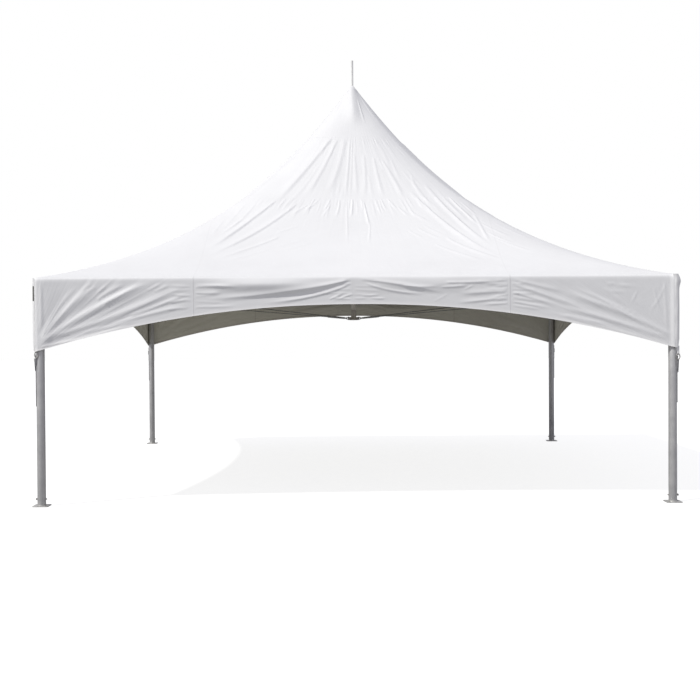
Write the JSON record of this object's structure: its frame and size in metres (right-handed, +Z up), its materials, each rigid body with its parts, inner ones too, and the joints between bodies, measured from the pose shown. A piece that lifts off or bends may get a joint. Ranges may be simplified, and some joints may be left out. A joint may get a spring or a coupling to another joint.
{
  "type": "marquee tent",
  "caption": "Square frame tent with a high peaked cloth roof, arched valances, tube legs on base plates, and a centre mast on crossed cables.",
  "frame": {"origin": "on the ground, under the centre mast", "axes": "+Z up, the side that faces the camera in the picture towards -Y, +X to its right"},
  "size_m": [6.17, 6.17, 4.976],
  "materials": {
    "frame_tube": "satin",
    "fitting": "satin",
    "foot_plate": "matt",
    "mast_tube": "satin",
    "hub": "satin",
    "spire": "gloss",
    "cable": "satin",
    "cloth": "satin coated",
    "webbing": "woven"
  },
  "bodies": {
    "root": {"leg_front_left": "frame_tube", "base_plate_front_left": "foot_plate", "corner_fitting_front_left": "fitting", "stay_cable_front_left": "cable", "corner_strap_front_left": "webbing", "leg_front_right": "frame_tube", "base_plate_front_right": "foot_plate", "corner_fitting_front_right": "fitting", "stay_cable_front_right": "cable", "corner_strap_front_right": "webbing", "leg_back_right": "frame_tube", "base_plate_back_right": "foot_plate", "corner_fitting_back_right": "fitting", "stay_cable_back_right": "cable", "corner_strap_back_right": "webbing", "leg_back_left": "frame_tube", "base_plate_back_left": "foot_plate", "corner_fitting_back_left": "fitting", "stay_cable_back_left": "cable", "corner_strap_back_left": "webbing", "eave_beam_front_left": "frame_tube", "eave_beam_front_right": "frame_tube", "eave_splice_front": "fitting", "roof_front": "cloth", "valance_front": "cloth", "eave_beam_right_front": "frame_tube", "eave_beam_right_back": "frame_tube", "eave_splice_right": "fitting", "roof_right": "cloth", "valance_right": "cloth", "eave_beam_back_right": "frame_tube", "eave_beam_back_left": "frame_tube", "eave_splice_back": "fitting", "roof_back": "cloth", "valance_back": "cloth", "eave_beam_left_back": "frame_tube", "eave_beam_left_front": "frame_tube", "eave_splice_left": "fitting", "roof_left": "cloth", "valance_left": "cloth", "mast_base": "hub", "centre_mast": "mast_tube", "mast_spire": "spire", "canopy_crown": "cloth"}
  },
  "joints": []
}
